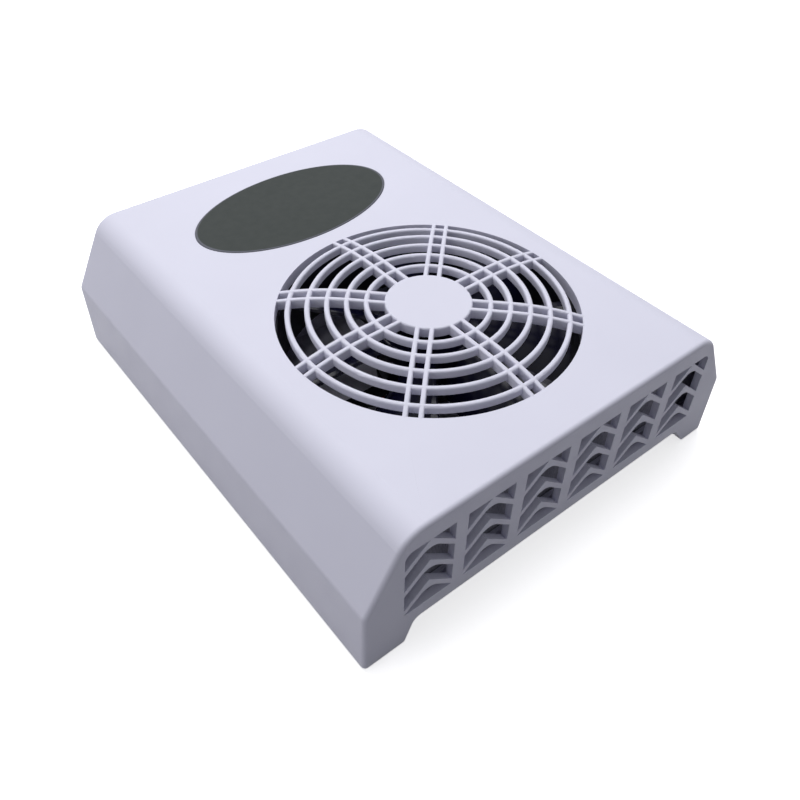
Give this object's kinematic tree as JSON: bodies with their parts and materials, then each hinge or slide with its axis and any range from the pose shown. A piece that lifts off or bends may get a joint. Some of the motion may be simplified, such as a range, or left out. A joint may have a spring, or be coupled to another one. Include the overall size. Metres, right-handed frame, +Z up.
{
  "type": "nail dust collector",
  "caption": "Table-top nail dust collector: moulded housing with a domed round suction grille, an oval badge, chevron vents in one end, an axial fan, a rocker switch and a power inlet.",
  "frame": {"origin": "on the table, under the middle of the housing", "axes": "+Z up, +X to the right seen from the vent end, -Y towards the end with the chevron vents"},
  "size_m": [0.1788, 0.214, 0.0636],
  "materials": {
    "shell": "satin moulded",
    "base": "matt moulded",
    "label": "satin printed",
    "rubber": "matt",
    "screw": "zinc plated",
    "filter_cloth": "fibre mat",
    "gasket": "closed-cell foam",
    "fan_plastic": "satin glass-filled",
    "fan_blade": "gloss moulded",
    "circuit_board": "solder mask",
    "motor_steel": "laminated or drawn",
    "copper": "enamelled winding",
    "bearing_steel": "ground",
    "magnet": "bonded ferrite",
    "switch_plastic": "satin moulded",
    "tinned_brass": "tinned",
    "lead_red": "smooth insulation",
    "lead_black": "smooth insulation"
  },
  "bodies": {
    "root": {"top_shell": "shell", "oval_label": "label", "base_plate": "base", "rubber_feet": "rubber", "base_screws": "screw", "exhaust_filter": "filter_cloth", "fan_gasket": "gasket", "fan_frame": "fan_plastic", "fan_screws": "screw", "fan_circuit_board": "circuit_board", "stator_core": "motor_steel", "stator_coils": "copper", "upper_bearing": "bearing_steel", "lower_bearing": "bearing_steel", "switch_housing": "switch_plastic", "switch_terminals": "tinned_brass", "inlet_body": "switch_plastic", "inlet_pin": "tinned_brass", "inlet_nut": "tinned_brass", "inlet_terminals": "tinned_brass", "fan_lead_red": "lead_red", "fan_lead_black": "lead_black", "inlet_lead_red": "lead_red"},
    "impeller": {"fan_impeller": "fan_blade", "rotor_yoke": "motor_steel", "rotor_magnet": "magnet", "fan_shaft": "bearing_steel", "shaft_clip": "bearing_steel"},
    "rocker": {"switch_rocker": "switch_plastic"}
  },
  "joints": [
    {"name": "fan_spin", "type": "hinge", "parent": "root", "child": "impeller", "pos_m": [0, -0.0297, 0.044], "axis": [0, 0, 1], "continuous": true},
    {"name": "switch_rock", "type": "hinge", "parent": "root", "child": "rocker", "pos_m": [-0.034, 0.1, 0.035], "axis": [0, 0, 1], "range_deg": [0, 24]}
  ]
}
